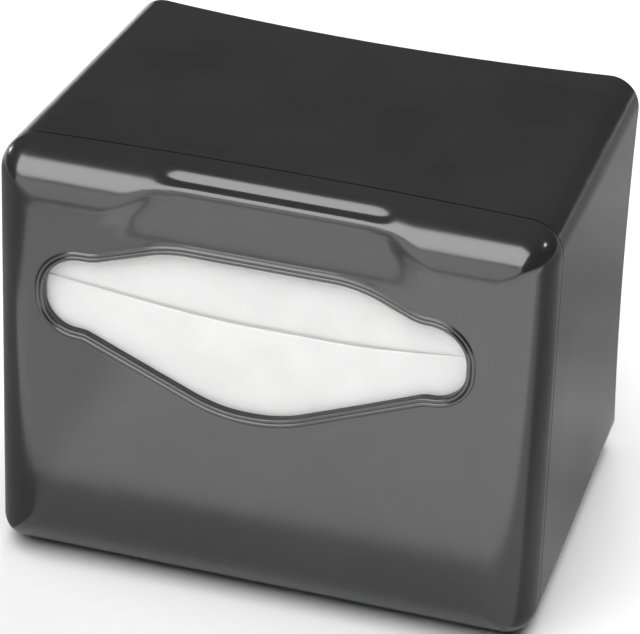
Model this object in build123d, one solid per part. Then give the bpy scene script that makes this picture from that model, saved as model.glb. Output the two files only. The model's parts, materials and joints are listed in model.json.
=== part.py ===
from build123d import *
import math
import os

# Tabletop full-fold napkin dispenser.
# Millimetres, +Z up, front towards -Y, origin under the middle of the base.

# ---- outer form ----
WIDTH = 197.0
DEPTH = 147.0
HEIGHT = 163.5
FOOT_LIFT = 2.0
WIDTH_DRAFT = 7.2
HEIGHT_DRAFT = 9.0
WALL = 2.4
TOP_CORNER = 11.5
BOTTOM_CORNER = 9.6
MIN_CORNER = 3.0
FRONT_ROUND = 18.0
NOSE_ANGLES = (0, 12, 27, 45, 65, 90)
REAR_SAG_ACROSS = 7.9
REAR_SAG_UP = 9.0

# ---- faceplate ----
LIP_PROUD = 0.8
LIP_WIDTH = 3.2
SKIRT_DEPTH = 20.4
SEAM_GAP = 0.4
TONGUE_THICK = 1.6
TONGUE_REACH = 5.0
SEAM_BOW = 3.6
OPENING_OFFSET = -2.5
OPENING_TOP = 137.6
OPENING_LOW = 78.8
OPENING_HALF = 75.1
OPENING_END_TOP = 128.3
OPENING_END_LOW = 99.9
END_TOP_R = 13.5
END_LOW_R = 10.0
CROWN_X = 33.7
CROWN_R = 44.0
CROWN_SHIFT = 3.0
SHOULDER_X = 57.5
SHOULDER_R = 17.0
HIP_X = 60.7
HIP_R = 18.0
CHIN_X = 10.5
CHIN_R = 48.0
CHIN_SHIFT = -1.0
SCOOP_BOTTOM = 142.0
SCOOP_BACK = 11.5
SCOOP_HALF_WIDTH = 44.0
SCOOP_CORNER = 9.0

# ---- faceplate hinge ----
HINGE_SETBACK = 10.5
HINGE_PIN_R = 1.5
RUNNING_GAP = 0.05
SNUG_GAP = 0.02
EAR_INNER_X = 84.5
EAR_THICK = 1.5
EAR_R = 3.6
LUG_INNER_X = 87.5
LUG_THICK = 2.5
LUG_REACH = 9.6

# ---- napkins ----
NAPKIN_WIDTH = 165.0
NAPKIN_HEIGHT = 114.0
STACK_DEPTH = 64.0
FRONT_NAPKIN_THICK = 1.2
FOLD_EDGE_HEIGHT = 113.5
NAPKIN_CLEAR = 0.4

# ---- tray ----
SHEET = 1.5
TRAY_TOP = 26.0
TRAY_HALF_WIDTH = 89.6
TRAY_REAR = 54.0
TRAY_FRONT_CLEAR = 4.5
TRAY_SETBACK = 0.8
ARCH_RISE = 7.7
TAB_REACH = 7.0
SLOT_SETBACK = 8.0
GUIDE_CLEAR = 0.8
GUIDE_HEIGHT = 34.0
GUIDE_CORNER = 10.0
GUIDE_FRONT = 10.0
GUIDE_REAR = 4.0
GUIDE_RIVET_Y = 46.0
FLOOR_SETBACK = 2.5
SLOT_X = 52.0
SLOT_HALF_WIDTH = 4.3
TAB_WIDTH = 14.0

# ---- pusher and its spring ----
PUSHER_TRAVEL = 40.0
PUSHER_HALF_WIDTH = 79.0
PUSHER_TOP = 136.0
PUSHER_SKIN = 2.5
PUSHER_FLANGE = 8.0
PUSHER_CORNER = 8.0
PUSHER_WALL = 2.0
LEG_LENGTH = 15.0
LEG_HALF_WIDTH = 4.0
LEG_DROP = 2.0
LEG_RISE = 3.0
GLIDE_HALF_WIDTH = 7.0
GLIDE_THICK = 4.0
GLIDE_CLEAR = 0.3
GLIDE_CORNER = 3.0
GLIDE_SCREW_LENGTH = 7.0
SPRING_Z = 82.0
SPRING_WIRE_R = 0.9
SPRING_FRONT_R = 13.0
SPRING_REAR_R = 32.0
SPRING_TURNS = 7
SEAT_Y = 53.2
SEAT_THICK = 2.0
SEAT_R = 36.0
SEAT_RIM = 3.0
SEAT_RIM_THICK = 1.8
SEAT_SCREW_X = 24.0
SEAT_SCREW_R = 1.15
SEAT_SCREW_HEAD_R = 2.2
SEAT_SCREW_HEAD = 1.4
SEAT_SCREW_LENGTH = 4.2
BOSS_R = 4.5
RETAINER_THICK = 1.6
RETAINER_HUB = 2.5
SMALL_SCREW_R = 1.05
SMALL_SCREW_HEAD_R = 2.35
SMALL_SCREW_HEAD = 1.5

# ---- feet and fasteners ----
FOOT_R = 7.0
FOOT_HEIGHT = 3.0
FOOT_X = 76.0
FOOT_FRONT_Y = -38.0
FOOT_REAR_Y = 40.0
FOOT_GAP = 0.3
FOOT_CHAMFER = 0.6
SCREW_R = 1.5
SCREW_HEAD_R = 2.8
SCREW_HEAD = 1.2
DRIVE_REACH = 2.0
DRIVE_HALF = 0.4
PIN_HEAD = 1.4
WEIGHT_HALF_WIDTH = 66.0
WEIGHT_FRONT = -46.0
WEIGHT_REAR = 50.0
WEIGHT_THICK = 2.5
WEIGHT_CORNER = 6.0
RIVET_R = 1.2
RIVET_HEAD_R = 1.7
RIVET_HEAD = 0.8
GUIDE_RIVET_X = 87.85
TOUCH = 0.1

# ---- catch at the top of the faceplate ----
CATCH_HALF_WIDTH = 17.0
CATCH_THICK = 0.6
CATCH_Z = 154.8
CATCH_BACK = 30.0
CATCH_PAD = 12.0
CATCH_RIVET_SETBACK = 6.0
CATCH_RISE = 1.5
CATCH_NOSE = 6.8
CATCH_KINK = 0.25
RIB_HALF_WIDTH = 16.0
RIB_FRONT = 3.4
RIB_BACK = 1.8
RIB_CLEAR = 2.0

# ---- worked out ----
LIP_Y = -DEPTH / 2
FACE_Y = LIP_Y + LIP_PROUD
REAR_Y = DEPTH / 2
WIDEST_Y = FACE_Y + FRONT_ROUND
SEAM_Y = FACE_Y + SKIRT_DEPTH
HINGE_Y = FACE_Y + HINGE_SETBACK
HINGE_Z = FOOT_LIFT + HINGE_SETBACK
SEAM_R = SEAM_Y - HINGE_Y
FLOOR_Z = FOOT_LIFT + WALL
TRAY_TAB_Z = FLOOR_Z + TOUCH
TONGUE_LOW = TRAY_TOP + TONGUE_REACH
FRONT_NAPKIN_Y = FACE_Y + WALL + NAPKIN_CLEAR
STACK_Y = FRONT_NAPKIN_Y + FRONT_NAPKIN_THICK + TOUCH
NAPKIN_Z = TRAY_TOP + TOUCH
PUSHER_Y = STACK_Y + STACK_DEPTH + NAPKIN_CLEAR
SPRING_FRONT_Y = PUSHER_Y + PUSHER_SKIN + SPRING_WIRE_R + TOUCH
SPRING_REAR_Y = SEAT_Y - SPRING_WIRE_R - TOUCH
RIB_Z = CATCH_Z + CATCH_THICK + RIB_CLEAR
CATCH_RIVET_TOP = CATCH_Z + CATCH_THICK + RIB_CLEAR
GLIDE_TOP = TRAY_TOP - SHEET - GLIDE_CLEAR
RETAINER_Y = PUSHER_Y + PUSHER_SKIN + RETAINER_HUB + TOUCH
CUT_PAST = 1.0
SWEEP_PAST = 4.0
FAR = 400.0


# ---------------------------------------------------------------- helpers

def block(x0, x1, y0, y1, z0, z1):
    """Box between two corners."""
    size = (x1 - x0, y1 - y0, z1 - z0)
    return Pos((x0 + x1) / 2, (y0 + y1) / 2, (z0 + z1) / 2) * Box(*size)


def rod_x(radius, x0, x1, y, z):
    """Cylinder along X."""
    return Pos((x0 + x1) / 2, y, z) * Rot(0, 90, 0) * Cylinder(radius, x1 - x0)


def rod_y(radius, y0, y1, x, z):
    """Cylinder along Y."""
    return Pos(x, (y0 + y1) / 2, z) * Rot(90, 0, 0) * Cylinder(radius, y1 - y0)


def rod_z(radius, z0, z1, x, y):
    """Cylinder along Z."""
    return Pos(x, y, (z0 + z1) / 2) * Cylinder(radius, z1 - z0)


def both_sides(solid):
    """A solid and its mirror image across the middle plane."""
    return solid + mirror(solid, Plane.YZ)


def prism_x(points, x0, x1):
    """Extrude a closed (y, z) outline from x0 to x1."""
    outline = make_face(Polyline(*[(x0, y, z) for y, z in points], close=True))
    return extrude(outline, amount=x1 - x0, dir=(1, 0, 0))


def save(shape, name):
    shape.label = name
    export_step(shape, f"parts/{name}.step")


# ---------------------------------------------------------------- outer form

def section(y, inset, front_inset=0.0):
    """Rounded outline of the form at depth y, drawn in by the wall inset and the front rounding."""
    along = max(0.0, (y - WIDEST_Y) / (REAR_Y - WIDEST_Y))
    shrink = inset + front_inset
    half = WIDTH / 2 - WIDTH_DRAFT / 2 * along - shrink
    low = FOOT_LIFT + shrink
    high = HEIGHT - HEIGHT_DRAFT * along - shrink
    top_r = max(TOP_CORNER - shrink, MIN_CORNER)
    low_r = max(BOTTOM_CORNER - shrink, MIN_CORNER)
    plane = Plane(origin=(0, y, 0), x_dir=(1, 0, 0), z_dir=(0, -1, 0))
    diag = math.sqrt(0.5)
    corners = [(half, high, top_r, 1, 1), (-half, high, top_r, -1, 1)]
    corners += [(-half, low, low_r, -1, -1), (half, low, low_r, 1, -1)]
    arcs = []
    for x, z, r, sx, sz in corners:
        centre_x = x - sx * r
        centre_z = z - sz * r
        on_side = (x, centre_z)
        middle = (centre_x + sx * r * diag, centre_z + sz * r * diag)
        on_flat = (centre_x, z)
        ends = (on_side, middle, on_flat) if sx == sz else (on_flat, middle, on_side)
        arcs.append(ends)
    edges = []
    for index, arc in enumerate(arcs):
        edges.append(ThreePointArc(*arc))
        edges.append(Line(arc[2], arcs[(index + 1) % len(arcs)][0]))
    return plane * make_face(Wire(edges))


def form(inset, y_end):
    """The solid that the outer shell bounds, drawn in by inset, from the face back to y_end."""
    radius = FRONT_ROUND - inset
    start = FACE_Y + inset
    rings = []
    for degrees in NOSE_ANGLES:
        angle = math.radians(degrees)
        y = start + radius * (1 - math.cos(angle))
        rings.append(section(y, inset, radius * (1 - math.sin(angle))))
    nose = loft(rings)
    body = loft([rings[-1], section(y_end, inset)], ruled=True)
    return nose + body


def dish(forward):
    """Everything behind the hollowed rear surface, moved forward by the given amount."""
    half_width = (WIDTH - WIDTH_DRAFT) / 2
    half_height = (HEIGHT - HEIGHT_DRAFT - FOOT_LIFT) / 2
    middle = FOOT_LIFT + half_height
    corner_cut = BOTTOM_CORNER * (1 - math.sqrt(0.5))
    at_corner = REAR_SAG_ACROSS * (1 - corner_cut / half_width) ** 2
    at_corner += REAR_SAG_UP * (1 - corner_cut / half_height) ** 2
    deepest = REAR_Y - at_corner - forward
    reach = 2 * half_height
    rim = deepest + REAR_SAG_UP * (reach / half_height) ** 2
    back = rim + FOOT_R
    curve = ThreePointArc((0, rim, middle - reach), (0, deepest, middle), (0, rim, middle + reach))
    top = Line((0, rim, middle + reach), (0, back, middle + reach))
    rear = Line((0, back, middle + reach), (0, back, middle - reach))
    low = Line((0, back, middle - reach), (0, rim, middle - reach))
    face = make_face(Wire([curve, top, rear, low]))
    swing = half_width ** 2 / (2 * REAR_SAG_ACROSS)
    axis = Axis((0, deepest + swing, 0), (0, 0, 1))
    spread = 2 * math.degrees(math.asin(half_width / swing)) + SWEEP_PAST
    return revolve(face.rotate(axis, -spread / 2), axis, spread)


def scoop(grow):
    """Wedge taken out of the top middle of the face as a finger hold."""
    rise = HEIGHT - SCOOP_BOTTOM
    slope = math.degrees(math.atan2(SCOOP_BACK, rise))
    length = math.hypot(SCOOP_BACK, rise)
    half = SCOOP_HALF_WIDTH + grow
    cutter = Pos(0, -length, length / 2 - grow) * Box(2 * half, 2 * length, 2 * length)
    cutter = fillet(cutter.edges().filter_by(Axis.Y), SCOOP_CORNER)
    return Pos(0, FACE_Y + grow, SCOOP_BOTTOM) * Rot(-slope, 0, 0) * Pos(0, 0, length / 2) * cutter


def front_zone(gap):
    """The space that belongs to the faceplate: ahead of the seam, and round the hinge axis below it."""
    edge = WIDTH / 2
    rear = ThreePointArc((-edge, SEAM_Y + gap), (0, SEAM_Y + gap + SEAM_BOW), (edge, SEAM_Y + gap))
    rest = Polyline((edge, SEAM_Y + gap), (FAR, SEAM_Y + gap), (FAR, -FAR), (-FAR, -FAR),
                    (-FAR, SEAM_Y + gap), (-edge, SEAM_Y + gap))
    upper = Pos(0, 0, HINGE_Z) * extrude(make_face(Wire([rear, *rest.edges()])), amount=FAR)
    barrel = rod_x(SEAM_R + gap, -FAR, FAR, HINGE_Y, HINGE_Z)
    lower = block(-FAR, FAR, -FAR, HINGE_Y, -FAR, HINGE_Z)
    return upper + barrel + lower


# ---------------------------------------------------------------- opening

def opening(grow):
    """Bow-tie outline of the dispensing opening, grown outwards, as a face in the XZ plane."""
    half = [(CROWN_X, OPENING_TOP, CROWN_R, CROWN_SHIFT), (SHOULDER_X, OPENING_END_TOP, SHOULDER_R, 0)]
    half += [(OPENING_HALF, OPENING_END_TOP, END_TOP_R, 0), (OPENING_HALF, OPENING_END_LOW, END_LOW_R, 0)]
    half += [(HIP_X, OPENING_END_LOW, HIP_R, 0), (CHIN_X, OPENING_LOW, CHIN_R, CHIN_SHIFT)]
    points = [(x + shift, z) for x, z, r, shift in half]
    points += [(shift - x, z) for x, z, r, shift in reversed(half)]
    radii = [r for x, z, r, shift in half + half[::-1]]
    wire = Wire(FilletPolyline(*points, radius=radii, close=True).edges())
    if grow:
        wire = wire.offset_2d(grow, kind=Kind.ARC)
    plane = Plane(origin=(OPENING_OFFSET, LIP_Y, 0), x_dir=(1, 0, 0), z_dir=(0, -1, 0))
    return plane * make_face(wire)


# ---------------------------------------------------------------- parts

def make_faceplate():
    shell = form(0, 0) - scoop(0) - (form(WALL, 0) - scoop(WALL))
    shell = shell & front_zone(0)
    lip_depth = LIP_PROUD + WALL
    lip = extrude(opening(LIP_WIDTH), amount=-lip_depth)
    hole = extrude(opening(0), amount=-3 * lip_depth, both=True)
    plate = shell + lip - hole
    lug = block(LUG_INNER_X, LUG_INNER_X + LUG_THICK, HINGE_Y - LUG_REACH, HINGE_Y + EAR_R,
                HINGE_Z - LUG_REACH, HINGE_Z + EAR_R)
    lug = lug & rod_x(LUG_REACH, 0, FAR, HINGE_Y, HINGE_Z) & form(WALL / 2, 0)
    inner = LUG_INNER_X - CUT_PAST
    outer = LUG_INNER_X + LUG_THICK + CUT_PAST
    bore = rod_x(HINGE_PIN_R + RUNNING_GAP, inner, outer, HINGE_Y, HINGE_Z)
    rib_front = SEAM_Y - RIB_FRONT
    rib_back = SEAM_Y - RIB_BACK
    rib = block(-RIB_HALF_WIDTH, RIB_HALF_WIDTH, rib_front, rib_back, RIB_Z, HEIGHT - WALL / 2)
    return plate + both_sides(lug) + rib - both_sides(bore)


def make_housing():
    skin = form(0, REAR_Y + FOOT_R) - dish(0)
    hollow = form(WALL, REAR_Y + FOOT_R) - dish(WALL)
    shell = skin - hollow - front_zone(SEAM_GAP)
    shell -= block(-FAR, FAR, -FAR, SEAM_Y - FLOOR_SETBACK, 0, FLOOR_Z + TOUCH)
    play = WALL + SEAM_GAP
    deep = play + TONGUE_THICK
    rear = SEAM_Y + SEAM_BOW + TONGUE_REACH
    collar = (form(TOUCH, 0) - form(deep, 0)) & block(-FAR, FAR, SEAM_Y, rear, 0, FAR)
    tongue = (form(play, 0) - form(deep, 0)) & block(-FAR, FAR, SEAM_Y - TONGUE_REACH, rear, 0, FAR)
    register = (collar - front_zone(SEAM_GAP) + tongue) & block(-FAR, FAR, -FAR, FAR, TONGUE_LOW, FAR)
    gap = CATCH_HALF_WIDTH + CUT_PAST
    catch_gap = block(-gap, gap, -FAR, SEAM_Y + SEAM_GAP, HEIGHT / 2, FAR)
    shell += register - catch_gap
    pad = block(-CATCH_HALF_WIDTH, CATCH_HALF_WIDTH, -CATCH_BACK - CATCH_PAD, -CATCH_BACK,
                CATCH_Z + CATCH_THICK + TOUCH, HEIGHT)
    shell += pad & form(WALL / 2, REAR_Y)
    boss_room = form(WALL / 2, REAR_Y) - dish(WALL / 2)
    for x in (-SEAT_SCREW_X, SEAT_SCREW_X):
        shell += rod_y(BOSS_R, SEAT_Y + SEAT_THICK + TOUCH, REAR_Y, x, SPRING_Z) & boss_room
        shell -= rod_y(SEAT_SCREW_R + RUNNING_GAP, SEAT_Y, SEAT_Y + SEAT_SCREW_LENGTH + TOUCH, x, SPRING_Z)
    for x, y in foot_places():
        shell -= rod_z(FOOT_R + FOOT_GAP, 0, FOOT_HEIGHT + TOUCH, x, y)
        shell -= rod_z(SCREW_R + FOOT_GAP, 0, FLOOR_Z + WALL, x, y)
    for x in catch_rivet_places():
        rivet_y = -CATCH_BACK - CATCH_RIVET_SETBACK
        shell -= rod_z(RIVET_R + SNUG_GAP, CATCH_Z, CATCH_RIVET_TOP + TOUCH, x, rivet_y)
    return shell


def foot_places():
    return [(x, y) for y in (FOOT_FRONT_Y, FOOT_REAR_Y) for x in (-FOOT_X, FOOT_X)]


def catch_rivet_places():
    return (-CATCH_HALF_WIDTH / 2, CATCH_HALF_WIDTH / 2)


def make_tray():
    front = FACE_Y + WALL + TRAY_FRONT_CLEAR
    plate = block(-TRAY_HALF_WIDTH, TRAY_HALF_WIDTH, front, TRAY_REAR, TRAY_TOP - SHEET, TRAY_TOP)
    clear = SEAM_Y + TRAY_SETBACK
    arch = HINGE_Z + ARCH_RISE
    outline = [(TRAY_REAR, TRAY_TAB_Z), (clear, TRAY_TAB_Z), (clear, arch), (HINGE_Y + EAR_R, arch)]
    outline += [(HINGE_Y + EAR_R, HINGE_Z), (HINGE_Y - EAR_R, HINGE_Z)]
    outline += [(HINGE_Y - EAR_R, TRAY_TOP - SHEET / 2), (TRAY_REAR, TRAY_TOP - SHEET / 2)]
    side = prism_x(outline, EAR_INNER_X, EAR_INNER_X + EAR_THICK)
    side += rod_x(EAR_R, EAR_INNER_X, EAR_INNER_X + EAR_THICK, HINGE_Y, HINGE_Z)
    for y in (FOOT_FRONT_Y, FOOT_REAR_Y):
        side += block(EAR_INNER_X - TAB_WIDTH, EAR_INNER_X + EAR_THICK / 2, y - TAB_REACH, y + TAB_REACH,
                      TRAY_TAB_Z, TRAY_TAB_Z + SHEET)
    tray = plate + both_sides(side)
    tray -= rod_x(HINGE_PIN_R + SNUG_GAP, -FAR, FAR, HINGE_Y, HINGE_Z)
    slot_rear = PUSHER_Y + LEG_LENGTH + PUSHER_TRAVEL + 1
    slot_front = front + SLOT_SETBACK
    slot = block(SLOT_X - SLOT_HALF_WIDTH, SLOT_X + SLOT_HALF_WIDTH, slot_front, slot_rear, 0, FAR)
    tray -= both_sides(slot)
    for x, y in foot_places():
        tray -= rod_z(SCREW_R + SNUG_GAP, 0, TRAY_TOP / 2, x, y)
    for x, y in guide_rivet_places():
        tray -= rod_z(RIVET_R + SNUG_GAP, TRAY_TOP / 2, FAR, x, y)
    return tray


def guide_rivet_places():
    return [(side * GUIDE_RIVET_X, y) for side in (-1, 1) for y in (-GUIDE_RIVET_Y, 0, GUIDE_RIVET_Y)]


def make_guide(side):
    inner = NAPKIN_WIDTH / 2 + GUIDE_CLEAR
    front = FACE_Y + GUIDE_FRONT
    rear = TRAY_REAR - GUIDE_REAR
    fin = block(inner, inner + SHEET, front, rear, NAPKIN_Z, NAPKIN_Z + GUIDE_HEIGHT)
    fin = fillet(fin.edges().filter_by(Axis.X).group_by(Axis.Z)[-1], GUIDE_CORNER)
    foot = block(inner, TRAY_HALF_WIDTH - NAPKIN_CLEAR, front, rear, NAPKIN_Z, NAPKIN_Z + SHEET)
    guide = fin + foot
    for x, y in guide_rivet_places():
        if x > 0:
            guide -= rod_z(RIVET_R + SNUG_GAP, 0, NAPKIN_Z + 2 * SHEET, x, y)
    return guide if side > 0 else mirror(guide, Plane.YZ)


def rivet_z(x, y, low, high, head_below):
    """Tubular rivet along Z with a domed head at each end."""
    shank = rod_z(RIVET_R, low - RIVET_HEAD / 2, high + RIVET_HEAD / 2, x, y)
    heads = rod_z(RIVET_HEAD_R, high + SNUG_GAP, high + RIVET_HEAD, x, y)
    if head_below:
        heads += rod_z(RIVET_HEAD_R, low - RIVET_HEAD, low - SNUG_GAP, x, y)
    return shank + heads


def make_pusher():
    low = NAPKIN_Z + NAPKIN_CLEAR
    half = PUSHER_HALF_WIDTH
    back = PUSHER_Y + PUSHER_SKIN
    rim = PUSHER_Y + PUSHER_FLANGE
    pan = block(-half, half, PUSHER_Y, rim, low, PUSHER_TOP)
    pan = fillet(pan.edges().filter_by(Axis.Y), PUSHER_CORNER)
    inner = half - PUSHER_WALL
    pocket = block(-inner, inner, back, rim + PUSHER_FLANGE, low + PUSHER_WALL, PUSHER_TOP - PUSHER_WALL)
    pocket = fillet(pocket.edges().filter_by(Axis.Y), PUSHER_CORNER - PUSHER_WALL)
    plate = pan - pocket
    rib = PUSHER_WALL / 2
    for x in (-SLOT_X, SLOT_X):
        plate += block(x - rib, x + rib, back - TOUCH, rim - rib, low, PUSHER_TOP - rib)
        plate += block(x - LEG_HALF_WIDTH, x + LEG_HALF_WIDTH, PUSHER_Y, PUSHER_Y + LEG_LENGTH,
                       TRAY_TOP - SHEET - LEG_DROP, low + LEG_RISE)
        plate -= rod_z(SMALL_SCREW_R + RUNNING_GAP, 0, low + LEG_RISE - rib, x, PUSHER_Y + LEG_LENGTH / 2)
    plate += rod_y(SPRING_FRONT_R - PUSHER_WALL, back - TOUCH, back + RETAINER_HUB, 0, SPRING_Z)
    plate -= rod_y(SMALL_SCREW_R + RUNNING_GAP, PUSHER_Y + PUSHER_SKIN / 2, RETAINER_Y, 0, SPRING_Z)
    return plate


def make_glide(x):
    rear = PUSHER_Y + LEG_LENGTH
    front = PUSHER_Y - CUT_PAST
    reach = GLIDE_HALF_WIDTH
    shoe = block(x - reach, x + reach, front, rear + CUT_PAST, GLIDE_TOP - GLIDE_THICK, GLIDE_TOP)
    shoe = fillet(shoe.edges().filter_by(Axis.Z), GLIDE_CORNER)
    half = LEG_HALF_WIDTH + TOUCH
    recess = TRAY_TOP - SHEET - LEG_DROP - SNUG_GAP
    shoe -= block(x - half, x + half, PUSHER_Y - TOUCH, rear + TOUCH, recess, FAR)
    return shoe - rod_z(SMALL_SCREW_R + GLIDE_CLEAR, 0, FAR, x, PUSHER_Y + LEG_LENGTH / 2)


def make_glide_screw(x):
    bottom = GLIDE_TOP - GLIDE_THICK
    y = PUSHER_Y + LEG_LENGTH / 2
    shank = rod_z(SMALL_SCREW_R, bottom - SMALL_SCREW_HEAD / 2, bottom + GLIDE_SCREW_LENGTH, x, y)
    return shank + rod_z(SMALL_SCREW_HEAD_R, bottom - SMALL_SCREW_HEAD, bottom - SNUG_GAP, x, y)


def make_spring():
    height = SPRING_REAR_Y - SPRING_FRONT_Y
    lean = math.degrees(math.atan2(SPRING_FRONT_R - SPRING_REAR_R, height))
    path = Helix(pitch=height / SPRING_TURNS, height=height, radius=SPRING_REAR_R,
                 center=(0, SPRING_REAR_Y, SPRING_Z), direction=(0, -1, 0), cone_angle=lean)
    wire = Plane(origin=path @ 0, z_dir=path % 0) * Circle(SPRING_WIRE_R)
    return sweep(wire, path=path, is_frenet=True)


def make_spring_retainer():
    disc = rod_y(SPRING_FRONT_R - PUSHER_SKIN, RETAINER_Y, RETAINER_Y + RETAINER_THICK, 0, SPRING_Z)
    rear = RETAINER_Y + 2 * RETAINER_THICK
    return disc - rod_y(SMALL_SCREW_R + GLIDE_CLEAR, RETAINER_Y - CUT_PAST, rear, 0, SPRING_Z)


def make_retainer_screw():
    back = RETAINER_Y + RETAINER_THICK
    shank = rod_y(SMALL_SCREW_R, PUSHER_Y + PUSHER_SKIN, back + SMALL_SCREW_HEAD / 2, 0, SPRING_Z)
    return shank + rod_y(SMALL_SCREW_HEAD_R, back + SNUG_GAP, back + SMALL_SCREW_HEAD, 0, SPRING_Z)


def make_spring_seat():
    disc = rod_y(SEAT_R, SEAT_Y, SEAT_Y + SEAT_THICK, 0, SPRING_Z)
    rim = rod_y(SEAT_R, SEAT_Y - SEAT_RIM, SEAT_Y + TOUCH, 0, SPRING_Z)
    rim -= rod_y(SEAT_R - SEAT_RIM_THICK, SEAT_Y - 2 * SEAT_RIM, SEAT_Y + CUT_PAST, 0, SPRING_Z)
    seat = disc + rim
    for x in (-SEAT_SCREW_X, SEAT_SCREW_X):
        seat -= rod_y(SEAT_SCREW_R + GLIDE_CLEAR, SEAT_Y - CUT_PAST, SEAT_Y + 2 * SEAT_THICK, x, SPRING_Z)
    return seat


def make_seat_screw(x):
    shank = rod_y(SEAT_SCREW_R, SEAT_Y - SEAT_SCREW_HEAD / 2, SEAT_Y + SEAT_SCREW_LENGTH, x, SPRING_Z)
    return shank + rod_y(SEAT_SCREW_HEAD_R, SEAT_Y - SEAT_SCREW_HEAD, SEAT_Y - SNUG_GAP, x, SPRING_Z)


def make_catch_spring():
    top = CATCH_Z + CATCH_THICK
    crest = top + CATCH_RISE
    ramp = SEAM_Y + RIB_CLEAR / 2
    behind = SEAM_Y - RIB_BACK - CATCH_KINK
    ahead = SEAM_Y - RIB_FRONT - CATCH_KINK
    nose = SEAM_Y - CATCH_NOSE
    upper = [(-CATCH_BACK, top), (ramp, top), (behind, crest), (ahead, crest), (nose, CATCH_Z)]
    lower = [(nose, CATCH_Z - CATCH_THICK), (ahead + CATCH_KINK, crest - CATCH_THICK)]
    lower += [(behind - CATCH_KINK, crest - CATCH_THICK)]
    lower += [(ramp - CATCH_KINK, CATCH_Z), (-CATCH_BACK, CATCH_Z)]
    leaf = prism_x(upper + lower, -CATCH_HALF_WIDTH, CATCH_HALF_WIDTH)
    for x in catch_rivet_places():
        leaf -= rod_z(RIVET_R + SNUG_GAP, 0, FAR, x, -CATCH_BACK - CATCH_RIVET_SETBACK)
    return leaf


def make_catch_rivet(x):
    y = -CATCH_BACK - CATCH_RIVET_SETBACK
    shank = rod_z(RIVET_R, CATCH_Z - RIVET_HEAD / 2, CATCH_RIVET_TOP, x, y)
    return shank + rod_z(RIVET_HEAD_R, CATCH_Z - RIVET_HEAD, CATCH_Z - SNUG_GAP, x, y)


def make_hinge_pin(side):
    head = EAR_INNER_X - PIN_HEAD
    pin = rod_x(HINGE_PIN_R, head + TOUCH, LUG_INNER_X + LUG_THICK + CUT_PAST, HINGE_Y, HINGE_Z)
    pin += rod_x(2 * HINGE_PIN_R, head, EAR_INNER_X - SNUG_GAP, HINGE_Y, HINGE_Z)
    return pin if side > 0 else mirror(pin, Plane.YZ)


def make_base_weight():
    plate = block(-WEIGHT_HALF_WIDTH, WEIGHT_HALF_WIDTH, WEIGHT_FRONT, WEIGHT_REAR,
                  TRAY_TAB_Z, TRAY_TAB_Z + WEIGHT_THICK)
    return fillet(plate.edges().filter_by(Axis.Z), WEIGHT_CORNER)


def make_foot(x, y):
    foot = rod_z(FOOT_R, 0, FOOT_HEIGHT, x, y)
    foot = chamfer(foot.edges().group_by(Axis.Z)[0], FOOT_CHAMFER)
    foot -= rod_z(SCREW_HEAD_R + FOOT_GAP, -1, FOOT_LIFT, x, y)
    return foot - rod_z(SCREW_R + FOOT_GAP, 0, FOOT_HEIGHT + CUT_PAST, x, y)


def make_foot_screw(x, y):
    shank = rod_z(SCREW_R, FOOT_LIFT - SCREW_HEAD / 2, TRAY_TAB_Z + 2 * SHEET, x, y)
    head = rod_z(SCREW_HEAD_R, FOOT_LIFT - SCREW_HEAD, FOOT_LIFT - SNUG_GAP, x, y)
    depth = FOOT_LIFT - SCREW_HEAD / 2
    drive = block(x - DRIVE_REACH, x + DRIVE_REACH, y - DRIVE_HALF, y + DRIVE_HALF, 0, depth)
    return shank + head - drive - drive.rotate(Axis((x, y, 0), (0, 0, 1)), 90)


def make_stack():
    half = NAPKIN_WIDTH / 2
    return block(-half, half, STACK_Y, STACK_Y + STACK_DEPTH, NAPKIN_Z, NAPKIN_Z + NAPKIN_HEIGHT)


def make_front_napkin():
    half = NAPKIN_WIDTH / 2
    return block(-half, half, FRONT_NAPKIN_Y, FRONT_NAPKIN_Y + FRONT_NAPKIN_THICK, NAPKIN_Z, FOLD_EDGE_HEIGHT)


def main():
    os.makedirs("parts", exist_ok=True)
    save(make_housing(), "housing")
    save(make_faceplate(), "faceplate")
    save(make_tray(), "napkin_tray")
    save(make_base_weight(), "base_weight")
    save(make_pusher(), "pusher_plate")
    save(make_spring(), "pusher_spring")
    save(make_spring_retainer(), "spring_retainer")
    save(make_retainer_screw(), "retainer_screw")
    save(make_spring_seat(), "spring_seat")
    save(make_catch_spring(), "catch_spring")
    save(make_stack(), "napkin_stack")
    save(make_front_napkin(), "front_napkin")
    for side, word in ((-1, "left"), (1, "right")):
        save(make_guide(side), f"napkin_guide_{word}")
        save(make_glide(side * SLOT_X), f"pusher_glide_{word}")
        save(make_hinge_pin(side), f"hinge_pin_{word}")
    for (x, y), word in zip(foot_places(), ("front_left", "front_right", "rear_left", "rear_right")):
        save(make_foot(x, y), f"foot_{word}")
    save(Compound([make_foot_screw(x, y) for x, y in foot_places()]), "foot_screws")
    save(Compound([make_seat_screw(x) for x in (-SEAT_SCREW_X, SEAT_SCREW_X)]), "seat_screws")
    save(Compound([make_glide_screw(x) for x in (-SLOT_X, SLOT_X)]), "glide_screws")
    save(Compound([make_catch_rivet(x) for x in catch_rivet_places()]), "catch_rivets")
    rivets = [rivet_z(x, y, TRAY_TOP - SHEET, NAPKIN_Z + SHEET, True) for x, y in guide_rivet_places()]
    save(Compound(rivets), "guide_rivets")


main()
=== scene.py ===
import json
import math

import bmesh
import bpy
import numpy as np
from mathutils import Matrix, Vector


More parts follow.
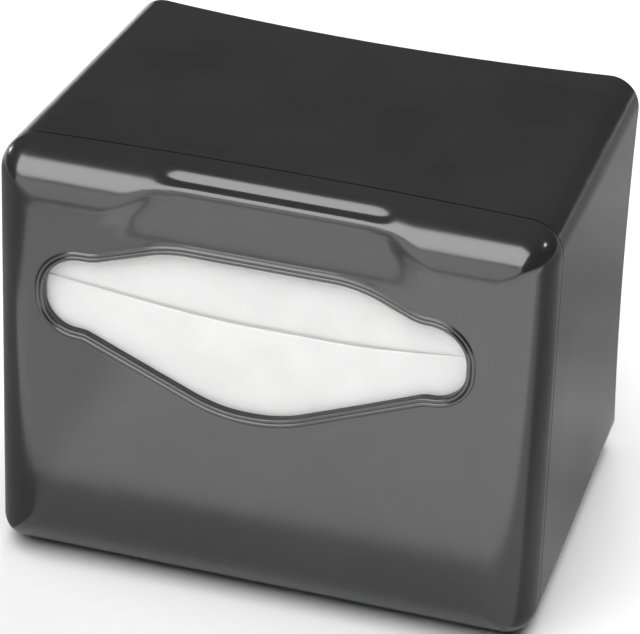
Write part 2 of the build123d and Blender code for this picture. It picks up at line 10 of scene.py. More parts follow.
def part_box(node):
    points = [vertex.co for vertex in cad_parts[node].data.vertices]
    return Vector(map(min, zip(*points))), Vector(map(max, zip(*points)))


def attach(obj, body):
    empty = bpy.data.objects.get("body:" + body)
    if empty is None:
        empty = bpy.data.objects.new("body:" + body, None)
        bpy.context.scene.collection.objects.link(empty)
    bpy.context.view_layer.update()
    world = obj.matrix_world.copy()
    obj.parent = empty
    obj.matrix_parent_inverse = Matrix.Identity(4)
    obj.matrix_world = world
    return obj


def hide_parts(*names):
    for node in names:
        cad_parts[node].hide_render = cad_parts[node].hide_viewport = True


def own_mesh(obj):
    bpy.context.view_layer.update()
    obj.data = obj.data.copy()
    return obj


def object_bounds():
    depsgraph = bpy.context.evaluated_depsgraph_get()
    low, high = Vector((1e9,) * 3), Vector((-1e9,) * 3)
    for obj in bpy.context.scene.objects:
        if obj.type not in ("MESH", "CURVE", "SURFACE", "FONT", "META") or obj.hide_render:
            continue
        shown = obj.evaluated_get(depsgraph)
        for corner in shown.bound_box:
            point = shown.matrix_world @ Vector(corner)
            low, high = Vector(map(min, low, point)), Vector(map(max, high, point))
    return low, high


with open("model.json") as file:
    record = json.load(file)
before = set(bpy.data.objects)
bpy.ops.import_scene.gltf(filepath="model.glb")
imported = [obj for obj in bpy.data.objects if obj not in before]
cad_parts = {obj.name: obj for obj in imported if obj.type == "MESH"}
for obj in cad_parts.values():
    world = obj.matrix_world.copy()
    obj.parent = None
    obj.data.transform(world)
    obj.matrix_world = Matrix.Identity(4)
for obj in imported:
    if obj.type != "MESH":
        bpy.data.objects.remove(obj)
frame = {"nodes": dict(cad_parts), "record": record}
CAD_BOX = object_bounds()
NODES = frame["nodes"]
MM = 0.001

# ---------------------------------------------------------------- form, in mm, as the CAD has it
LOW, HIGH = (np.array(c) / MM for c in CAD_BOX)
WIDTH = HIGH[0] - LOW[0]
HEIGHT = HIGH[2]
LIP_Y, REAR_Y = LOW[1], HIGH[1]
LIP_PROUD = 0.8
FACE_Y = LIP_Y + LIP_PROUD
FOOT_LIFT = 2.0
WALL = 2.4
WIDTH_DRAFT, HEIGHT_DRAFT = 7.2, 9.0
TOP_CORNER, BOTTOM_CORNER, MIN_CORNER = 11.5, 9.6, 3.0
FRONT_ROUND = 18.0
SKIRT_DEPTH = 20.4
WIDEST_Y = FACE_Y + FRONT_ROUND
SEAM_Y = FACE_Y + SKIRT_DEPTH
JOINTS = {joint["name"]: joint for joint in frame["record"]["behaviour"]["joints"]}
HINGE = JOINTS["faceplate_hinge"]["pos_m"]
HINGE_Y, HINGE_Z = HINGE[1] / MM, HINGE[2] / MM
SEAM_R = SEAM_Y - HINGE_Y
OPEN_X, OPEN_Z = -2.5, 114.1
SEAM_BOW = 3.6
SEAM_STEPS, SEAM_SHARE = 80, 0.3

# half of the opening's outline: x, z, corner radius, and how far that pair of corners is shifted to the right
OPENING = [(33.7, 137.6, 44.0, 3.0), (57.5, 128.3, 17.0, 0), (75.1, 128.3, 13.5, 0),
           (75.1, 99.9, 12.0, 0), (60.7, 99.9, 11.0, 0), (10.5, 78.8, 48.0, -1.0)]

# section of the rolled lip: how far out from the opening's edge, and how far behind the lip's front
LIP = [(0.0, 3.2), (0.0, 2.0), (0.0, 1.1), (0.06, 0.6), (0.24, 0.24), (0.55, 0.05), (0.9, 0.0), (1.2, 0.04),
       (1.42, 0.22), (1.58, 0.46), (1.7, 0.52), (1.82, 0.46), (1.98, 0.22), (2.2, 0.05), (2.45, 0.0),
       (2.75, 0.07), (2.98, 0.28), (3.14, 0.58), (3.28, 0.75), (3.6, 0.8)]

# finger hold in the top middle of the face
HOLD_X = 1.0
HOLD_LEAN = math.radians(27.0)
HOLD_FOOT_Z = 142.4
HOLD_TOP_Z = 160.0
HOLD_HALF_WIDTH = 40.0
HOLD_FLARE = 0.95
HOLD_FLARE_REACH = 32
HOLD_SIDE_SLOPE = 0.34
HOLD_SIDE_BLEND = 4.5
RIDGE_Z, RIDGE_WIDTH, RIDGE_PROUD = 156.3, 0.9, 0.55
STEP_Z, STEP_Y = 159.5, -61.9
STEP_LEAN, STEP_SLOPE = 0.8, 0.78
STEP_HALF_WIDTH, STEP_END_SLOPE = 39.0, 0.3
STEP_BLEND, STEP_END_BLEND = 1.0, 2.0
HOLD_BLEND = 1.6
EDGE_BLEND = 2.8
HOLD_NEAR_X, HOLD_NEAR_Z = 92, 120
DEEPEST_HOLD = 16.0
HALVINGS = 36

# faceplate mesh: rings in each stretch, and the rear rim as depth behind the seam and inset
FACE_RINGS, SKIRT_RINGS = 12, 46
INNER_FACE_RINGS, INNER_SKIRT_RINGS = 5, 20
RIM_START, INNER_RIM_START = 0.35, 0.5
RIM = [(-0.1, 0.1), (0.0, 0.35), (0.0, WALL - 0.3), (-0.15, WALL)]


# ---------------------------------------------------------------- helpers

def make_object(name, verts, faces, smooth=True):
    """A mesh object from points in mm."""
    mesh = bpy.data.meshes.new(name)
    points = [tuple(v) for v in np.asarray(verts) * MM]
    mesh.from_pydata(points, [], [tuple(int(i) for i in f) for f in faces])
    mesh.validate()
    for poly in mesh.polygons:
        poly.use_smooth = smooth
    obj = bpy.data.objects.new(name, mesh)
    bpy.context.scene.collection.objects.link(obj)
    return obj


def torus_faces(rings, count, close_rings=True, close_count=True):
    """Quads over a grid of rings, each with count points."""
    faces = []
    for r in range(rings if close_rings else rings - 1):
        for k in range(count if close_count else count - 1):
            a, b = r * count + k, r * count + (k + 1) % count
            r2 = (r + 1) % rings
            faces.append((a, r2 * count + k, r2 * count + (k + 1) % count, b))
    return faces


def rounded(corners, steps=60):
    """Closed outline through filleted corners, each given as (x, z, radius)."""
    out = []
    count = len(corners)
    for i, (x, z, r) in enumerate(corners):
        p = np.array([x, z])
        a = np.array(corners[i - 1][:2]) - p
        b = np.array(corners[(i + 1) % count][:2]) - p
        a, b = a / np.linalg.norm(a), b / np.linalg.norm(b)
        half = math.acos(np.clip(a @ b, -1, 1)) / 2
        reach = r / math.tan(half)
        centre = p + (a + b) / np.linalg.norm(a + b) * r / math.sin(half)
        start, end = p + a * reach - centre, p + b * reach - centre
        turn = math.atan2(start[0] * end[1] - start[1] * end[0], start @ end)
        for t in np.linspace(0, turn, steps):
            c, s = math.cos(t), math.sin(t)
            out.append(centre + np.array([c * start[0] - s * start[1], s * start[0] + c * start[1]]))
    return np.array(out)


def resample(outline, step=0.1):
    """The closed outline with points about a step apart."""
    loop = np.vstack([outline, outline[:1]])
    run = np.concatenate([[0], np.cumsum(np.linalg.norm(np.diff(loop, axis=0), axis=1))])
    at = np.linspace(0, run[-1], int(run[-1] / step), endpoint=False)
    return np.column_stack([np.interp(at, run, loop[:, 0]), np.interp(at, run, loop[:, 1])])


# ---------------------------------------------------------------- outer outline

CORNER_N, TOP_N, SIDE_N, LOW_N = 26, 220, 150, 150
SAMPLES = []
for corner, edge_n in enumerate((TOP_N, SIDE_N, LOW_N, SIDE_N)):
    SAMPLES += [(corner, t, -1.0) for t in np.linspace(0, 1, CORNER_N)]
    SAMPLES += [(corner, 1.0, f) for f in np.linspace(0, 1, edge_n + 2)[1:-1]]
SAMPLES = np.array(SAMPLES)
COUNT = len(SAMPLES)
CORNER = SAMPLES[:, 0].astype(int)
SIGN_X = np.array([1, -1, -1, 1])
SIGN_Z = np.array([1, 1, -1, -1])


def outline(y, shrink):
    """x and z of every sample of the outer form at depth y, drawn in by shrink."""
    y = np.broadcast_to(np.asarray(y, float), COUNT)
    shrink = np.broadcast_to(np.asarray(shrink, float), COUNT)
    along = np.maximum(0.0, (y - WIDEST_Y) / (REAR_Y - WIDEST_Y))
    half = WIDTH / 2 - WIDTH_DRAFT / 2 * along - shrink
    low = FOOT_LIFT + shrink
    high = HEIGHT - HEIGHT_DRAFT * along - shrink
    top_radius = np.maximum(TOP_CORNER - shrink, MIN_CORNER)
    low_radius = np.maximum(BOTTOM_CORNER - shrink, MIN_CORNER)

    def at(corner, fraction):
        sx, sz = SIGN_X[corner], SIGN_Z[corner]
        r = np.where(sz > 0, top_radius, low_radius)
        angle = (corner + fraction) * math.pi / 2
        x = sx * (half - r) + r * np.cos(angle)
        z = np.where(sz > 0, high - r, low + r) + r * np.sin(angle)
        return x, z

    x, z = at(CORNER, SAMPLES[:, 1])
    x2, z2 = at((CORNER + 1) % 4, np.zeros(COUNT))
    f = np.clip(SAMPLES[:, 2], 0, 1)
    return x + (x2 - x) * f, z + (z2 - z) * f


def nose(s, inset):
    """Depth and shrink at arc length s from the face, on the form drawn in by inset."""
    r = FRONT_ROUND - inset
    angle = np.minimum(s / r, math.pi / 2)
    y = FACE_Y + inset + r * (1 - np.cos(angle)) + np.maximum(0.0, s - r * math.pi / 2)
    return y, inset + r * (1 - np.sin(angle))


def length_to(y, inset):
    """Arc length at which the form drawn in by inset reaches depth y."""
    r = FRONT_ROUND - inset
    start = FACE_Y + inset
    angle = np.arccos(np.clip(1 - (y - start) / r, 0, 1))
    return angle * r + np.maximum(0.0, y - start - r)


def seam_depth():
    """Depth of the seam at every sample: bowed behind the face, and round the hinge axis below it."""
    y = np.full(COUNT, SEAM_Y)
    for _ in range(SEAM_STEPS):
        x, z = outline(*nose(length_to(y, 0.0), 0.0))
        drop = np.clip(HINGE_Z - z, 0, SEAM_R)
        bow = SEAM_BOW * (1 - np.clip(2 * x / WIDTH, -1, 1) ** 2)
        round_hinge = HINGE_Y + np.sqrt(SEAM_R ** 2 - drop ** 2)
        target = np.where(z >= HINGE_Z, SEAM_Y + bow, round_hinge)
        y = (1 - SEAM_SHARE) * y + SEAM_SHARE * target
    return y


# ---------------------------------------------------------------- finger hold

def smooth_min(a, b, k):
    """The smaller of two fields, with the corner between them rounded over a width of about k."""
    h = np.maximum(k - np.abs(a - b), 0.0) / k
    return np.minimum(a, b) - h * h * k / 4


def smooth_max(a, b, k):
    return -smooth_min(-a, -b, k)


def hold(p):
    """How far inside the space of the finger hold a point is, in mm; negative outside it."""
    x, y, z = p[:, 0] - HOLD_X, p[:, 1], p[:, 2]
    plane = FACE_Y + (z - HOLD_FOOT_Z) * math.tan(HOLD_LEAN)
    ridge = np.clip((z - RIDGE_Z) / RIDGE_WIDTH, 0, 1)
    front = (plane - y) * math.cos(HOLD_LEAN) - RIDGE_PROUD * ridge * ridge * (3 - 2 * ridge)
    half = HOLD_HALF_WIDTH + np.clip(HOLD_TOP_Z - z, 0, HOLD_FLARE_REACH) * HOLD_FLARE
    side = (half - np.abs(x)) * HOLD_SIDE_SLOPE
    main = smooth_min(front, side, HOLD_SIDE_BLEND)
    riser = (STEP_Y + (z - STEP_Z) * STEP_LEAN - y) * STEP_SLOPE
    step = smooth_min(z - STEP_Z, riser, STEP_BLEND)
    step = smooth_min(step, (STEP_HALF_WIDTH - np.abs(x)) * STEP_END_SLOPE, STEP_END_BLEND)
    return smooth_max(main, step, HOLD_BLEND)


def settle(p, normal, offset):
    """Moves points inwards along their normals until they are outside the finger hold, with rounded edges."""
    near = np.where((np.abs(p[:, 0]) < HOLD_NEAR_X) & (p[:, 2] > HOLD_NEAR_Z))[0]
    q, n = p[near], normal[near]
    base = np.zeros(len(q))
    high = np.full(len(q), DEEPEST_HOLD)
    for _ in range(HALVINGS):
        mid = (base + high) / 2
        inside = smooth_max(-mid, hold(q - n * mid[:, None]) + offset, EDGE_BLEND) > 0
        base = np.where(inside, mid, base)
        high = np.where(inside, high, mid)
    p = p.copy()
    p[near] = q - n * ((base + high) / 2)[:, None] * (high > 1e-6)[:, None]
    return p


# ---------------------------------------------------------------- faceplate

def opening_points():
    """The opening's edge in the direction of every outline sample, and the edge's normal there."""
    loop = [(x + shift, z - OPEN_Z, r) for x, z, r, shift in OPENING]
    loop += [(shift - x, z - OPEN_Z, r) for x, z, r, shift in reversed(OPENING)]
    dense = resample(rounded(loop), 0.05)
    ahead = np.roll(dense, -1, axis=0)
    if np.sum(dense[:, 0] * ahead[:, 1] - dense[:, 1] * ahead[:, 0]) < 0:
        dense = dense[::-1]
    tangent = np.roll(dense, -6, axis=0) - np.roll(dense, 6, axis=0)
    normal = np.column_stack([tangent[:, 1], -tangent[:, 0]])
    normal /= np.linalg.norm(normal, axis=1)[:, None]
    angle = np.unwrap(np.arctan2(dense[:, 1], dense[:, 0]))
    order = np.argsort(angle % (2 * math.pi))
    table = (angle % (2 * math.pi))[order]
    x, z = outline(FACE_Y, FRONT_ROUND)
    want = np.arctan2(z - OPEN_Z, x - OPEN_X) % (2 * math.pi)
    columns = [np.interp(want, table, c[order], period=2 * math.pi) for c in (*dense.T, *normal.T)]
    point = np.column_stack([columns[0] + OPEN_X, columns[1] + OPEN_Z])
    normal = np.column_stack(columns[2:])
    return point, normal / np.linalg.norm(normal, axis=1)[:, None]


def blend_rows(a, b, y, steps):
    """Rings between two outlines at one depth, without the outlines themselves."""
    fractions = np.linspace(0, 1, steps + 2)[1:-1]
    return [np.column_stack([a[:, 0] + (b[:, 0] - a[:, 0]) * f, np.full(COUNT, y),
                             a[:, 1] + (b[:, 1] - a[:, 1]) * f]) for f in fractions]


def nose_rows(total, inset, steps):
    """Rings from the face back to the given arc lengths."""
    rows = []
    for f in np.linspace(0, 1, steps):
        y, shrink = nose(total * f, inset)
        x, z = outline(y, shrink)
        rows.append(np.column_stack([x, y, z]))
    return rows


def grid_normals(rows):
    """Normals of a grid of rings, on either side of it."""
    g = np.array(rows)
    du = np.roll(g, -1, axis=1) - np.roll(g, 1, axis=1)
    dv = np.gradient(g, axis=0)
    n = np.cross(dv, du)
    n /= np.maximum(np.linalg.norm(n, axis=2), 1e-9)[:, :, None]
    return n


def outward(points, normals):
    """The normals turned to point away from the middle of the dispenser."""
    middle = np.array([0.0, 0.0, HEIGHT / 2])
    return np.where(((points - middle) * normals).sum(axis=1)[:, None] < 0, -normals, normals)


def pressed(rows, offset):
    """The rings with the finger hold pressed into them."""
    normals = grid_normals(rows).reshape(-1, 3)
    points = np.concatenate(rows)
    return list(settle(points, outward(points, normals), offset).reshape(len(rows), COUNT, 3))


def make_faceplate():
    """Closed shell: rolled lip, face, rounding, skirt, rear rim, and the same again inside."""
    point, normal = opening_points()
    lip = [np.column_stack([point[:, 0] + normal[:, 0] * d, np.full(COUNT, LIP_Y + back),
                            point[:, 1] + normal[:, 1] * d]) for d, back in LIP]
    lip_edge = point + normal * LIP[-1][0]
    flat_edge = np.column_stack(outline(FACE_Y, FRONT_ROUND))
    seam = seam_depth()
    outer = blend_rows(lip_edge, flat_edge, FACE_Y, FACE_RINGS)
    outer += nose_rows(length_to(seam - RIM_START, 0.0), 0.0, SKIRT_RINGS)
    rim = []
    for back, shrink in RIM:
        x, z = outline(seam + back, shrink + nose(length_to(seam, 0.0), 0.0)[1])
        rim.append(np.column_stack([x, seam + back, z]))
    inner_edge = np.column_stack(outline(FACE_Y + WALL, FRONT_ROUND))
    inner = blend_rows(point, inner_edge, FACE_Y + WALL, INNER_FACE_RINGS)
    inner += nose_rows(np.maximum(length_to(seam - INNER_RIM_START, WALL), 1.0), WALL, INNER_SKIRT_RINGS)
    rows = lip + pressed(outer, 0.0) + rim + pressed(inner, WALL)[::-1]
    return make_object("faceplate_shell", np.concatenate(rows), torus_faces(len(rows), COUNT))


def plate_x(name, yz, bore, x0, x1, bevel=0.25):
    """Plate across X with a rounded outline and, if asked, a round bore given as (y, z, radius)."""
    count = len(yz)
    centre = np.array(bore[:2]) if bore else yz.mean(axis=0)
    direction = yz - centre
    length = np.linalg.norm(direction, axis=1)[:, None]
    inner = centre + direction * (1 - bevel / length)
    sides = [(x0, inner), (x0 + bevel, yz), (x1 - bevel, yz), (x1, inner)]
    if bore:
        wall = centre + direction / length * bore[2]
        sides += [(x1, wall), (x0, wall)]
    rings = np.concatenate([np.column_stack([np.full(count, x), ring]) for x, ring in sides])
    faces = torus_faces(len(sides), count, close_rings=bool(bore))
    if not bore:
        faces += [tuple(range(count))[::-1], tuple(range(3 * count, 4 * count))]
    return make_object(name, rings, faces, False)


def tidy_normals(obj, sharp=None):
    """Outward normals, and smooth shading that stays crisp at sharp edges."""
    bm = bmesh.new()
    bm.from_mesh(obj.data)
    bmesh.ops.recalc_face_normals(bm, faces=bm.faces)
    bm.to_mesh(obj.data)
    bm.free()
    if sharp is not None:
        obj.data.set_sharp_from_angle(angle=math.radians(sharp))
    return obj


# ---------------------------------------------------------------- napkins

LEAF_INSET = 0.3
PILE_COUNT = 30
PILE_GAP = 0.04
UPPER_LOW, UPPER_HIGH = 96, 139

# section of one folded napkin in the pile: share of its depth, and how far its edge is drawn in
PAD_SECTION = [(0.0, 0.9), (0.12, 0.35), (0.3, 0.05), (0.42, 0.3), (0.5, 0.32), (0.58, 0.3), (0.7, 0.02),
               (0.88, 0.35), (1.0, 0.9)]


def leaf_grid(name, path, half, thick, bulge, columns=90, ripple=0.0, rise=None, seed=1):
    """A folded paper leaf: the (y, z) path swept across X, with thickness."""
    rng = np.random.default_rng(seed)
    path = np.asarray(path, float)
    xs = np.linspace(-half, half, columns)
    phase = rng.uniform(0, 6.28, 4)
    points = []
    for y, z, w in path:
        for x in xs:
            u = x / half
            wave = ripple * w * (math.sin(3.1 * u * math.pi + phase[0]) * 0.5
                                 + math.sin(1.7 * u * math.pi + z * 0.05 + phase[1]) * 0.5)
            up = rise(x) * w if rise else 0.0
            points.append((x, y - bulge(x, z) * w + wave, z + up))
    obj = make_object(name, points, torus_faces(len(path), columns, False, False))
    tidy_normals(obj)
    solid = obj.modifiers.new("paper", "SOLIDIFY")
    solid.thickness = thick * MM
    solid.offset = 0.0
    return obj


def leaf_bulge(x, z):
    """How far the front leaf puffs towards the opening."""
    u = (x - OPEN_X) / 72.0
    v = (z - 106.0) / 26.0
    return 1.5 * max(0.0, 1 - u * u) ** 0.8 * math.exp(-v * v)


def fold_rise(x):
    """How much higher the fold edge lies towards its two ends."""
    return 5.6 * max(0.0, (-x - 8.0) / 66.0) ** 1.4 + 3.6 * max(0.0, (x - 30.0) / 42.0) ** 1.5


def upper_puff(x, z):
    """How far the upper leaf puffs towards the opening."""
    u = (x - OPEN_X) / 60.0
    v = (z - 124.0) / 10.0
    return 0.55 * math.exp(-u * u * 1.4 - v * v)


def box_mm(node):
    return [np.array(corner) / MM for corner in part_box(node)]


def make_front_leaf():
    """The first napkin: back leaf down, fold at the tray, and front leaf up to the fold edge."""
    low, high = box_mm("front_napkin")
    s_low, s_high = box_mm("napkin_stack")
    half = high[0] - LEAF_INSET
    fold_z = high[2]
    front, back = low[1] + 0.25, s_low[1] - 0.35
    full_puff = 50
    path = [(front, z, min(1.0, (z - low[2]) / full_puff)) for z in np.linspace(low[2] + 0.9, fold_z - 3, 34)]
    turn = [(front, fold_z - 2, 1.0), (front - 0.02, fold_z - 1, 1.0), (front - 0.02, fold_z, 1.0)]
    bottom = [(back, low[2] + 0.9, 0.0), ((front + back) / 2, low[2] + 0.3, 0.0)]
    behind = [(back, z, 0.0) for z in np.linspace(s_high[2] - 0.6, low[2] + 3, 30)]
    leaf = leaf_grid("front_napkin_leaf", behind + bottom + path + turn, half, 0.22, leaf_bulge,
                     columns=96, ripple=0.06, rise=fold_rise, seed=3)
    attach(leaf, "base")
    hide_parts("front_napkin")
    return leaf


def make_pile():
    """The napkins behind the first, each a folded pad with a waist where its leaves part."""
    low, high = box_mm("napkin_stack")
    rng = np.random.default_rng(11)
    pitch = (high[1] - low[1]) / PILE_COUNT
    verts, faces = [], []
    for n in range(PILE_COUNT):
        front = low[1] + n * pitch
        inset = rng.uniform(0.1, 0.9, 2)
        top = high[2] - rng.uniform(0.1, 1.3)
        right = high[0] - inset[0]
        left = -right + inset[1] - 0.1
        corners = [(right, top, 1.6), (left, top, 1.6), (left, low[2], 1.0), (right, low[2], 1.0)]
        edges = resample(rounded(corners, 5), 5.5)
        count = len(edges)
        centre = edges.mean(axis=0)
        direction = edges - centre
        length = np.linalg.norm(direction, axis=1)[:, None]
        start = len(verts)
        for depth, back_in in PAD_SECTION:
            ring = centre + direction * (1 - back_in / length)
            verts += [(x, front + PILE_GAP + depth * (pitch - 2 * PILE_GAP), z) for x, z in ring]
        last = start + (len(PAD_SECTION) - 1) * count
        faces += [tuple(i + start for i in f) for f in torus_faces(len(PAD_SECTION), count, False, True)]
        faces.append(tuple(start + i for i in range(count)))
        faces.append(tuple(last + i for i in reversed(range(count))))
    pile = make_object("napkin_pile", verts, faces)
    tidy_normals(pile, 40)
    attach(pile, "base")
    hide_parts("napkin_stack")
    return pile


def make_upper_leaf():
    """The next napkin's upper leaf, which shows above the first one's fold edge."""
    low, high = box_mm("napkin_stack")
    half = high[0] - 1.0
    upper = []
    for z in np.linspace(UPPER_LOW, UPPER_HIGH, 30):
        share = min(1.0, max(0.0, (z - UPPER_LOW) / 44))
        upper.append((low[1] - 0.75, z, math.sin(math.pi * share)))
    leaf = leaf_grid("front_napkin_upper", upper, half, 0.2, upper_puff, columns=80, ripple=0.05, seed=8)
    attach(leaf, "base")
    return leaf


# ---------------------------------------------------------------- spring

SPRING_WIRE, SPRING_TURNS, WIRE_SIDES = 0.9, 7, 12
SPRING_FRONT_R, SPRING_REAR_R = 13.0, 32.0


def make_spring():
    """Conical compression spring, small end on the pusher."""
    (_, front, _), (_, rear, _) = box_mm("pusher_spring")
    seat = box_mm("spring_seat")
    centre_z = (seat[0][2] + seat[1][2]) / 2
    steps = SPRING_TURNS * 56
    t = np.linspace(0, 1, steps)
    y = rear - SPRING_WIRE + (front - rear + 2 * SPRING_WIRE) * t
    r = SPRING_REAR_R + (SPRING_FRONT_R - SPRING_REAR_R) * t
    angle = t * SPRING_TURNS * 2 * math.pi
    path = np.column_stack([r * np.cos(angle), y, centre_z + r * np.sin(angle)])
    tangent = np.gradient(path, axis=0)
    tangent /= np.linalg.norm(tangent, axis=1)[:, None]
    out = np.column_stack([np.cos(angle), np.zeros(steps), np.sin(angle)])
    side = np.cross(tangent, out)
    side /= np.linalg.norm(side, axis=1)[:, None]
    out = np.cross(side, tangent)
    verts = []
    for i in range(steps):
        for a in np.arange(WIRE_SIDES) * 2 * math.pi / WIRE_SIDES:
            verts.append(path[i] + SPRING_WIRE * (math.cos(a) * out[i] + math.sin(a) * side[i]))
    faces = torus_faces(steps, WIRE_SIDES, False, True)
    faces.append(tuple(range(WIRE_SIDES)))
    faces.append(tuple((steps - 1) * WIRE_SIDES + k for k in reversed(range(WIRE_SIDES))))
    spring = make_object("pusher_spring_coil", verts, faces)
    tidy_normals(spring, 60)
    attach(spring, "base")
    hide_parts("pusher_spring")
    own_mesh(spring)
    return spring


# ---------------------------------------------------------------- materials

class Nodes:
    """Small wrapper for building a material's nodes."""

    def __init__(self, name):
        self.mat = bpy.data.materials.new(name)
        self.mat.use_nodes = True
        self.tree = self.mat.node_tree
        self.shader = self.tree.nodes["Principled BSDF"]
        self.coord = self.tree.nodes.new("ShaderNodeTexCoord")

    def new(self, kind, **values):
        node = self.tree.nodes.new(kind)
        for key, value in values.items():
            if key in node.inputs:
                node.inputs[key].default_value = value
            else:
                setattr(node, key, value)
        return node

    def link(self, a, b):
        self.tree.links.new(a, b)

    def noise(self, scale, detail=2.0, rough=0.5):
        node = self.new("ShaderNodeTexNoise", Scale=scale, Detail=detail, Roughness=rough)
        self.link(self.coord.outputs["Object"], node.inputs["Vector"])
        return node.outputs["Fac"]

    def spread(self, source, low, high, start=0.3, end=0.7):
        node = self.new("ShaderNodeMapRange")
        for key, value in zip(("From Min", "From Max", "To Min", "To Max"), (start, end, low, high)):
            node.inputs[key].default_value = value
        self.link(source, node.inputs["Value"])
        return node.outputs["Result"]

    def colour(self, source, low, high, start=0.3, end=0.7):
        ramp = self.new("ShaderNodeValToRGB")
        ramp.color_ramp.elements[0].position, ramp.color_ramp.elements[1].position = start, end
        ramp.color_ramp.elements[0].color = (*low, 1)
        ramp.color_ramp.elements[1].color = (*high, 1)
        self.link(source, ramp.inputs["Fac"])
        self.link(ramp.outputs["Color"], self.shader.inputs["Base Color"])

    def rough(self, source, low, high):
        self.link(self.spread(source, low, high), self.shader.inputs["Roughness"])

    def bump(self, *layers):
        """Each layer is (source, strength, distance in mm)."""
        previous = None
        for source, strength, distance in layers:
            node = self.new("ShaderNodeBump", Strength=strength, Distance=distance * MM)
            self.link(source, node.inputs["Height"])
            if previous:
                self.link(previous, node.inputs["Normal"])
            previous = node.outputs["Normal"]
        self.link(previous, self.shader.inputs["Normal"])


def smoke_plastic():
    m = Nodes("smoke_plastic_gloss")
    m.shader.inputs["IOR"].default_value = 1.5
    m.colour(m.noise(28.0, 3.0), (0.0205, 0.0205, 0.021), (0.0255, 0.0255, 0.026))
    m.rough(m.noise(16.0, 4.0), 0.15, 0.23)
    m.bump((m.noise(55.0, 2.0), 0.05, 0.4), (m.noise(1500.0, 2.0), 0.035, 0.05))
    return m.mat


def paper():
    m = Nodes("napkin_tissue")
    m.colour(m.noise(60.0, 4.0), (0.86, 0.86, 0.855), (0.92, 0.92, 0.915))
    m.shader.inputs["Roughness"].default_value = 0.95
    m.shader.inputs["Specular IOR Level"].default_value = 0.15
    dots = m.new("ShaderNodeTexVoronoi", Scale=620.0)
    m.link(m.coord.outputs["Object"], dots.inputs["Vector"])
    m.bump((m.noise(900.0, 3.0), 0.12, 0.15), (dots.outputs["Distance"], 0.10, 0.2))
    return m.mat


def metal(name, low, high, rough, scale, stretch=None):
    """Grained metal: colour range, roughness range and grain scale."""
    m = Nodes(name)
    m.shader.inputs["Metallic"].default_value = 1.0
    source = m.noise(scale, 5.0, 0.6)
    if stretch:
        mapping = m.new("ShaderNodeMapping")
        mapping.inputs["Scale"].default_value = stretch
        m.link(m.coord.outputs["Object"], mapping.inputs["Vector"])
        m.link(mapping.outputs["Vector"], source.node.inputs["Vector"])
    m.colour(source, low, high)
    m.rough(source, *rough)
    m.bump((source, 0.08, 0.1))
    return m.mat


def plastic(name, low, high, rough, grain, depth, specular=0.5):
    """Moulded plastic or rubber: colour range, roughness range, grain scale and grain depth in mm."""
    m = Nodes(name)
    m.shader.inputs["Specular IOR Level"].default_value = specular
    m.colour(m.noise(40.0, 4.0), low, high)
    m.rough(m.noise(90.0, 3.0), *rough)
    m.bump((m.noise(grain, 3.0), 0.3, depth))
    return m.mat


MATERIALS = {
    "smoke_plastic": smoke_plastic(),
    "paper": paper(),
    "zinc_steel": metal("zinc_sheet", (0.50, 0.51, 0.52), (0.63, 0.64, 0.65), (0.28, 0.42), 260.0,
                        stretch=(0.25, 1, 1)),
    "black_plastic": plastic("black_moulding", (0.012, 0.012, 0.013), (0.02, 0.02, 0.021), (0.42, 0.55),
                             1400.0, 0.06),
    "nylon": plastic("natural_nylon", (0.62, 0.60, 0.52), (0.70, 0.68, 0.61), (0.38, 0.5), 900.0, 0.04),
    "spring_steel": metal("spring_wire", (0.30, 0.30, 0.31), (0.42, 0.42, 0.43), (0.22, 0.36), 700.0),
    "bright_steel": metal("bright_zinc", (0.58, 0.58, 0.59), (0.72, 0.72, 0.73), (0.16, 0.3), 500.0),
    "rubber": plastic("foot_rubber", (0.010, 0.010, 0.010), (0.017, 0.017, 0.017), (0.7, 0.85),
                      1100.0, 0.08, specular=0.3),
}


def paint(obj, slot):
    obj.data.materials.clear()
    obj.data.materials.append(MATERIALS[slot])


for part in frame["record"]["subparts"]:
    node = NODES[part["node"]]
    for material_slot in node.material_slots:
        material_slot.material = MATERIALS[part["material_slot"]]

# ---------------------------------------------------------------- build

def finish_faceplate_piece(obj, sharp):
    """A piece of the faceplate moulding."""
    tidy_normals(obj, sharp)
    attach(obj, "faceplate")
    paint(obj, "smoke_plastic")


PIN_BORE = (HINGE_Y, HINGE_Z, 1.55)
LUG_X = {"left": (-90.0, -87.5), "right": (87.5, 90.0)}
LUG_R = 3.6
LUG_REACH, LUG_FOOT_REACH = 6.6, 4.4
RIB_HALF_WIDTH = 16.0
RIB_TOP, RIB_LOW = HEIGHT - 1.6, 157.4
RIB_FRONT, RIB_REAR = SEAM_Y - 3.4, SEAM_Y - 1.8

shell = make_faceplate()
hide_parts("faceplate")
finish_faceplate_piece(shell, 50)

lug_yz = rounded([(HINGE_Y + LUG_R, HINGE_Z + LUG_R, 3.5),
                  (HINGE_Y - LUG_REACH, HINGE_Z + LUG_R, 0.6),
                  (HINGE_Y - LUG_FOOT_REACH, HINGE_Z - LUG_R, 0.6),
                  (HINGE_Y + LUG_R, HINGE_Z - LUG_R, 3.5)], 10)
for word, ends in LUG_X.items():
    finish_faceplate_piece(plate_x(f"faceplate_lug_{word}", lug_yz, PIN_BORE, *ends), 30)

rib_yz = rounded([(RIB_REAR, RIB_TOP, 0.2), (RIB_FRONT, RIB_TOP, 0.2),
                  (RIB_FRONT, RIB_LOW, 0.5), (RIB_REAR, RIB_LOW, 0.5)], 6)
finish_faceplate_piece(plate_x("faceplate_catch_rib", rib_yz, None, -RIB_HALF_WIDTH, RIB_HALF_WIDTH), 30)

for make_piece in (make_front_leaf, make_pile, make_upper_leaf):
    paint(make_piece(), "paper")
paint(make_spring(), "spring_steel")

# ---------------------------------------------------------------- stage

